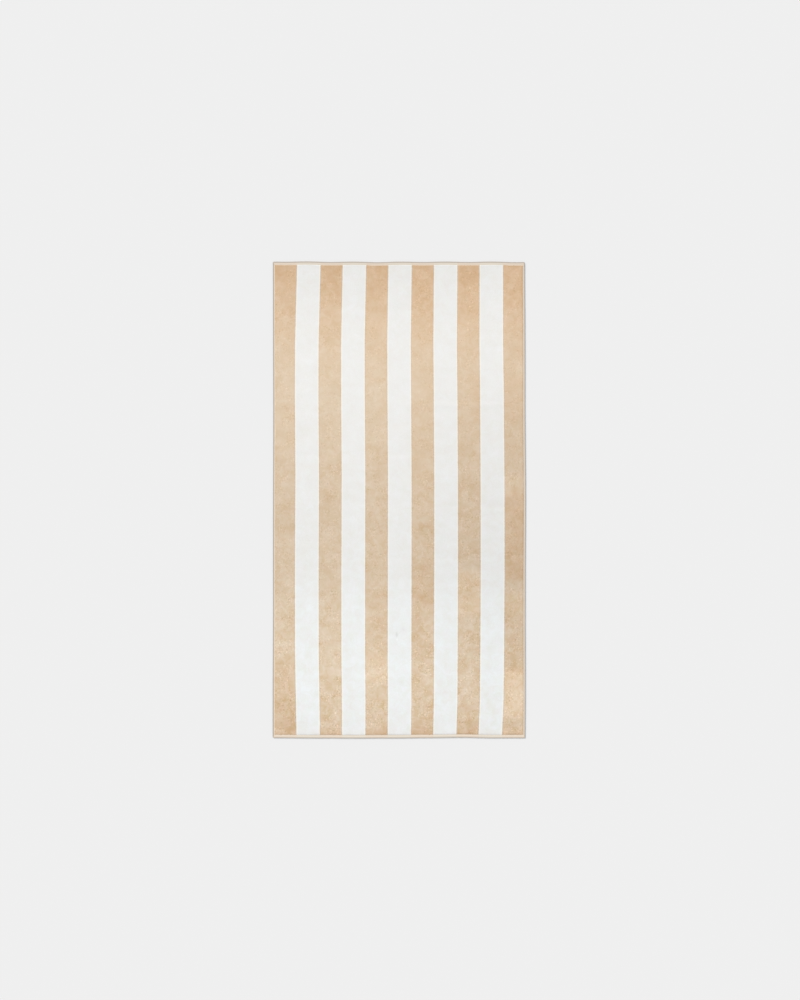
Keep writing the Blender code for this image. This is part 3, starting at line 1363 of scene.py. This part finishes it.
def grown(
    name: str, base: Mesh, values: Mapping[str, Any], shaped: Callable[[NodeTree, Any], Node]
) -> Object:
    """Run a Geometry Nodes tree on a base mesh and keep the result as a plain mesh.

    Args:
        name: The new piece's name.
        base: The mesh that the tree starts from. It is removed.
        values: A value for each of the tree's named inputs. Finish is the piece's material.
        shaped: Builds the tree from its inputs up to the node that gives the bare shape.

    Returns:
        The new piece, at the origin.
    """
    tree = bpy.data.node_groups.new(name, "GeometryNodeTree")
    for way in ("INPUT", "OUTPUT"):
        tree.interface.new_socket("Geometry", in_out=way, socket_type="NodeSocketGeometry")
    for label, value in values.items():
        kind = next(kind for base_type, kind in SOCKET_KINDS.items() if isinstance(value, base_type))
        tree.interface.new_socket(label, in_out="INPUT", socket_type=kind)
    given = tree.nodes.new("NodeGroupInput").outputs
    shape = shaped(tree, given)
    dressed = add_node(tree, "GeometryNodeSetMaterial", {"Geometry": shape, "Material": given["Finish"]})
    add_node(tree, "NodeGroupOutput", (dressed,))
    piece = new_object(name, base)
    modifier = piece.modifiers.new(name, "NODES")
    modifier.node_group = tree
    for item in tree.interface.items_tree:
        if item.in_out == "INPUT" and item.name in values:
            modifier[item.identifier] = values[item.name]
    mesh = bpy.data.meshes.new_from_object(piece.evaluated_get(bpy.context.evaluated_depsgraph_get()))
    piece.modifiers.remove(modifier)
    piece.data = mesh
    mesh.name = name
    for index in reversed(range(len(mesh.materials))):
        if mesh.materials[index] is None:
            mesh.materials.pop(index=index)
    bpy.data.meshes.remove(base)
    return piece


@dataclass(frozen=True)
class TuftedPile:
    """Tufts or loops of pile yarn, standing close together on the cloth.

    The real ones are 1.3 mm apart. These are as far apart as the number of faces asks for, and each
    stands for the few round it.
    """

    plan: WeavePlan
    spacing: float
    width: float
    height: float
    seed: int
    sink: float
    most_scale: float
    least_scale: float = 0.75
    sides: int = 3
    lean: float = math.radians(0.8)
    crowding: float = 2.2  # tries at a place for a tuft, for each tuft that fits
    rim_below: float = 0.25  # the share of a tuft's height below which its edges stay sharp
    bake_room: float = 1.02  # how much larger than the towel its flat picture is

    def grow(self, name: str, bed: Mesh, material: Material) -> Object:
        """Grow the pile.

        Args:
            name: The piece's name.
            bed: The part of the cloth that it grows on. It is removed.
            material: The pile's finish.

        Returns:
            The pile as one plain mesh.
        """
        values = {
            "Spacing": self.spacing, "Crowding": self.crowding / self.spacing**2, "Width": self.width,
            "Height": self.height, "Sides": self.sides, "Lean": self.lean, "Sink": self.sink,
            "Seed": self.seed, "Finish": material
        }
        return grown(name, bed, values, self._stood)

    def _stood(self, tree: NodeTree, given: Any) -> Node:
        """Scatter places, stand a tuft at each and spread the cloth's map over it.

        Args:
            tree: The piece's tree, which gets the nodes.
            given: The tree's named inputs.

        Returns:
            The node that gives the tufts.
        """
        places = add_node(
            tree, "GeometryNodeDistributePointsOnFaces",
            {
                "Mesh": given["Geometry"], "Distance Min": given["Spacing"], "Density Max": given["Crowding"],
                "Seed": given["Seed"]
            },
            distribute_method="POISSON"
        )
        back = add_node(tree, MATH, (given["Lean"], -1.0), operation="MULTIPLY")
        least = add_node(tree, COMBINE, (back, back))
        most = add_node(tree, COMBINE, (given["Lean"], given["Lean"], 2.0 * math.pi))
        turn = add_node(
            tree, "FunctionNodeRandomValue", {"Min": least, "Max": most, "Seed": given["Seed"]},
            data_type="FLOAT_VECTOR"
        )
        next_seed = add_node(tree, MATH, (given["Seed"], 1.0), operation="ADD")
        scale = add_node(
            tree, "FunctionNodeRandomValue", {2: self.least_scale, 3: self.most_scale, "Seed": next_seed},
            data_type="FLOAT"
        )
        turned = add_node(
            tree, "FunctionNodeRotateRotation", (places.outputs["Rotation"], turn), rotation_space="LOCAL"
        )
        rooted = add_node(
            tree, STORE,
            {
                "Geometry": places.outputs["Points"], "Name": ROOT,
                "Value": add_node(tree, "GeometryNodeInputPosition")
            },
            data_type="FLOAT_VECTOR", domain="POINT"
        )
        stood = add_node(
            tree, "GeometryNodeInstanceOnPoints",
            {
                "Points": rooted, "Instance": self._tuft(tree, given), "Rotation": turned,
                "Scale": scale.outputs[1]
            }
        )
        real = add_node(tree, "GeometryNodeRealizeInstances", (stood,))
        return self._mapped(tree, real)

    def _mapped(self, tree: NodeTree, pile: Node) -> Node:
        """Run the cloth's map on over each tuft, and lay all out flat for a picture of the finish.

        Args:
            tree: The piece's tree.
            pile: The node that gives the realised tufts.

        Returns:
            The last node.
        """
        place = add_node(tree, "GeometryNodeInputPosition")
        root, woven = (
            add_node(tree, "GeometryNodeInputNamedAttribute", {"Name": name}, data_type="FLOAT_VECTOR")
            for name in (ROOT, WOVEN_MAP)
        )
        from_root = add_node(tree, VECTOR_MATH, (place, root), operation="SUBTRACT")
        spread = add_node(tree, VECTOR_MATH, (woven, from_root), operation="ADD")
        stored = add_node(
            tree, STORE, {"Geometry": pile, "Name": WOVEN_MAP, "Value": spread}, data_type="FLOAT2",
            domain="POINT"
        )
        freed = add_node(tree, "GeometryNodeRemoveAttribute", {"Geometry": stored, "Name": ROOT})
        across, along = 1.0 / (self.bake_room * self.plan.width), 1.0 / (self.bake_room * self.plan.length)
        flat = add_node(
            tree, VECTOR_MATH, (place, (across, along, 0.0), (0.5, 0.5, 0.0)), operation="MULTIPLY_ADD"
        )
        return add_node(
            tree, STORE, {"Geometry": freed, "Name": BAKE_MAP, "Value": flat}, data_type="FLOAT2",
            domain="CORNER"
        )

    def _tuft(self, tree: NodeTree, given: Any) -> Node:
        """Make one closed tuft whose root is sunk into the cloth, and mark its tip.

        Args:
            tree: The piece's tree, which gets the nodes.
            given: The tree's named inputs.

        Returns:
            The node that gives the tuft.
        """
        radius = add_node(tree, MATH, (given["Width"], 0.5), operation="MULTIPLY")
        cone = add_node(
            tree, "GeometryNodeMeshCone",
            {
                "Vertices": given["Sides"], "Radius Top": 0.0, "Radius Bottom": radius,
                "Depth": given["Height"]
            },
            fill_type="NGON"
        )
        place = add_node(tree, "GeometryNodeInputPosition")
        height = add_node(tree, "ShaderNodeSeparateXYZ", (place,))
        share = add_node(tree, MATH, (height.outputs["Z"], given["Height"]), operation="DIVIDE")
        low = add_node(tree, MATH, (share, self.rim_below), operation="LESS_THAN")
        smooth = add_node(tree, "GeometryNodeSetShadeSmooth", {0: cone.outputs["Mesh"], "Shade Smooth": True})
        rimmed = add_node(
            tree, "GeometryNodeSetShadeSmooth", {0: smooth, "Selection": low, "Shade Smooth": False},
            domain="EDGE"
        )
        marked = add_node(
            tree, STORE, {"Geometry": rimmed, "Name": TIP, "Value": share}, data_type="FLOAT", domain="POINT"
        )
        down = add_node(tree, MATH, (given["Sink"], -1.0), operation="MULTIPLY")
        offset = add_node(tree, COMBINE, {"Z": down})
        return add_node(tree, "GeometryNodeSetPosition", {"Geometry": marked, "Offset": offset})


@dataclass(frozen=True)
class Lockstitch:
    """The rows of stitches that hold the four hems down."""

    plan: WeavePlan
    lie: ClothLie
    pitch: float = 3.2 * MM
    gap: float = 0.5 * MM  # between two stitches, where the thread goes down
    thread: float = 0.55 * MM
    arch: float = 0.30 * MM
    from_edge: float = 2.0 * MM
    step: float = 20 * MM  # between the points of a row, which follows the cloth's outline
    bends: int = 4  # straight lengths in one stitch
    thread_sides: int = 5

    def sew(self, name: str, height: float, upwards: bool, material: Material) -> Object:
        """Sew the rows on one side of the towel.

        Args:
            name: The piece's name.
            height: Where the thread enters the cloth.
            upwards: Whether the stitches arch up, as on the face, or down.
            material: The thread's finish.

        Returns:
            The stitches as one plain mesh.
        """
        values = {
            "Pitch": self.pitch, "Length": self.pitch - self.gap, "Thread": self.thread / 2,
            "Arch": self.arch if upwards else -self.arch, "Finish": material
        }
        return grown(name, self._rows(height), values, self._sewn)

    def _rows(self, height: float) -> Mesh:
        """Draw the four rows as lines on the cloth, each from edge to edge.

        Args:
            height: The lines' height.

        Returns:
            A mesh of edges.
        """
        plan = self.plan
        side = plan.width / 2 - plan.side_hem + plan.seam_from_pile
        end = plan.length / 2 - plan.end_hem + plan.seam_from_pile
        half_width, half_length = plan.width / 2 - self.from_edge, plan.length / 2 - self.from_edge
        ends = (
            ((-half_width, end), (half_width, end)),
            ((-half_width, -end), (half_width, -end)),
            ((-side, -half_length), (-side, half_length)),
            ((side, -half_length), (side, half_length)),
        )
        lines = bmesh.new()
        for first, last in ends:
            count = round(math.dist(first, last) / self.step)
            u, v = np.linspace(first, last, count + 1).T
            x, y = self.lie.laid_out(plan, u, v)
            points = [lines.verts.new((px, py, height)) for px, py in zip(x, y)]
            for point, following in zip(points, points[1:]):
                lines.edges.new((point, following))
        return new_mesh("seam_lines", lines)

    def _sewn(self, tree: NodeTree, given: Any) -> Node:
        """Set one arched stitch at each pitch along the rows.

        Args:
            tree: The piece's tree, which gets the nodes.
            given: The tree's named inputs.

        Returns:
            The node that gives the stitches.
        """
        rows = add_node(tree, "GeometryNodeMeshToCurve", {"Mesh": given["Geometry"]})
        spaced = add_node(
            tree, "GeometryNodeResampleCurve", {"Curve": rows, "Length": given["Pitch"]}, mode="LENGTH"
        )
        along = add_node(tree, "GeometryNodeInputTangent")
        turn = add_node(
            tree, "FunctionNodeAlignRotationToVector", {"Vector": along}, axis="X", pivot_axis="Z"
        )
        half = add_node(tree, MATH, (given["Length"], 0.5), operation="MULTIPLY")
        back = add_node(tree, MATH, (half, -1.0), operation="MULTIPLY")
        high = add_node(tree, MATH, (given["Arch"], 2.0), operation="MULTIPLY")
        arc = add_node(
            tree, "GeometryNodeCurveQuadraticBezier",
            {
                "Resolution": self.bends, "Start": add_node(tree, COMBINE, (back,)),
                "Middle": add_node(tree, COMBINE, {2: high}), "End": add_node(tree, COMBINE, (half,))
            }
        )
        ring = add_node(
            tree, "GeometryNodeCurvePrimitiveCircle",
            {"Resolution": self.thread_sides, "Radius": given["Thread"]}, mode="RADIUS"
        )
        stitch = add_node(
            tree, "GeometryNodeCurveToMesh", {"Curve": arc, "Profile Curve": ring, "Fill Caps": True}
        )
        sewn = add_node(
            tree, "GeometryNodeInstanceOnPoints", {"Points": spaced, "Instance": stitch, "Rotation": turn}
        )
        real = add_node(tree, "GeometryNodeRealizeInstances", (sewn,))
        return add_node(tree, "GeometryNodeSetShadeSmooth", (real,))


# Studio


@dataclass
class Studio:
    """The floor, the light and the camera of the product photograph."""

    plan: WeavePlan
    backdrop: str = "#EFEFEF"
    floor: str = "#DADADA"
    floor_size: float = 60.0
    sun_strength: float = 2.86
    sun_angle: float = math.radians(14.0)
    sun_tilt: float = math.radians(66.0)
    sun_turn: float = math.radians(-135.0)
    lens: float = 85.0
    sensor: float = 36.0
    frame_height: float = 1000 * 3.571 * MM  # what the photograph's height spans at the towel
    off_right: float = 3.9 * MM  # the towel's middle lies a little left of the frame's
    off_up: float = -0.8 * MM

    def build(self) -> None:
        """Build the studio."""
        self._floor()
        self._light()
        self._camera()
        bpy.context.scene.view_settings.view_transform = "Standard"

    def _floor(self) -> None:
        """Lay the plain pale floor."""
        plane = bmesh.new()
        bmesh.ops.create_grid(plane, x_segments=1, y_segments=1, size=self.floor_size / 2)
        floor = new_object("floor", new_mesh("floor", plane))
        material, tree, shader = new_finish("matt paper floor")
        inputs = {"Base Color": linear(self.floor), "Roughness": 1.0, "Specular IOR Level": 0.0}
        fill(tree, shader, inputs)
        floor.data.materials.append(material)

    def _light(self) -> None:
        """Set the even light of the room and one soft lamp at the upper left."""
        world = bpy.data.worlds.new("studio")
        world.use_nodes = True
        world.node_tree.nodes["Background"].inputs["Color"].default_value = linear(self.backdrop)
        bpy.context.scene.world = world
        lamp = bpy.data.lights.new("softbox", "SUN")
        lamp.energy = self.sun_strength
        lamp.angle = self.sun_angle
        new_object("softbox", lamp).rotation_euler = (self.sun_tilt, 0.0, self.sun_turn)

    def _camera(self) -> None:
        """Hang the camera straight above the towel."""
        data = bpy.data.cameras.new("camera")
        data.lens = self.lens
        data.sensor_width = self.sensor
        camera = new_object("camera", data)
        height = self.frame_height * self.lens / self.sensor
        camera.location = (self.off_right, self.off_up, self.plan.pile_thickness + height)
        bpy.context.scene.camera = camera


def declare(piece: Object) -> None:
    """Tell the frame what a piece rides on, and report it.

    Args:
        piece: The finished piece.
    """
    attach(piece, BODY)
    triangles = sum(len(polygon.vertices) - 2 for polygon in piece.data.polygons)
    LOG.info("%s: %d triangles", piece.name, triangles)


def main() -> None:
    """Build the towel and the studio, and tell the frame what each piece is."""
    logging.basicConfig(level=logging.INFO, format="%(name)s: %(message)s")
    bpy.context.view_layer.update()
    plan, lie, lay = WeavePlan(), ClothLie(), PileShadeAndDye()
    Studio(plan).build()
    stripes = Stripes(plan)
    velour = cotton_velour(stripes).material()
    terry = cotton_terry(stripes).material()
    hem = FlatWovenHem(stripes).material()
    thread = SewingThread().material()
    weaver = TowelCloth(plan, lie, lay)
    cloth = weaver.build([velour, hem, terry])
    tufts = TuftedPile(
        plan, spacing=3.4 * MM, width=6.6 * MM, height=0.40 * MM, seed=11, sink=0.10 * MM, most_scale=1.15
    )
    pile = [
        tufts.grow(f"towel_pile_{yarn.value}", weaver.bed(cloth, Part.FACE_PILE, yarn), velour)
        for yarn in Yarn
    ]
    loops = TuftedPile(
        plan, spacing=4.6 * MM, width=8.0 * MM, height=0.55 * MM, seed=23, sink=0.12 * MM, most_scale=1.05
    )
    pile.append(loops.grow("towel_loops", weaver.bed(cloth, Part.LOOP_BACK, None), terry))
    seams = Lockstitch(plan, lie)
    groove = plan.hem_thickness - weaver.seam_dip
    pile.append(seams.sew("towel_stitches_face", groove, True, thread))
    pile.append(seams.sew("towel_stitches_back", weaver.back_dip, False, thread))
    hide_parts(CAD_NODE)
    for piece in (cloth, *pile):
        declare(piece)


if __name__ == "__main__":
    main()
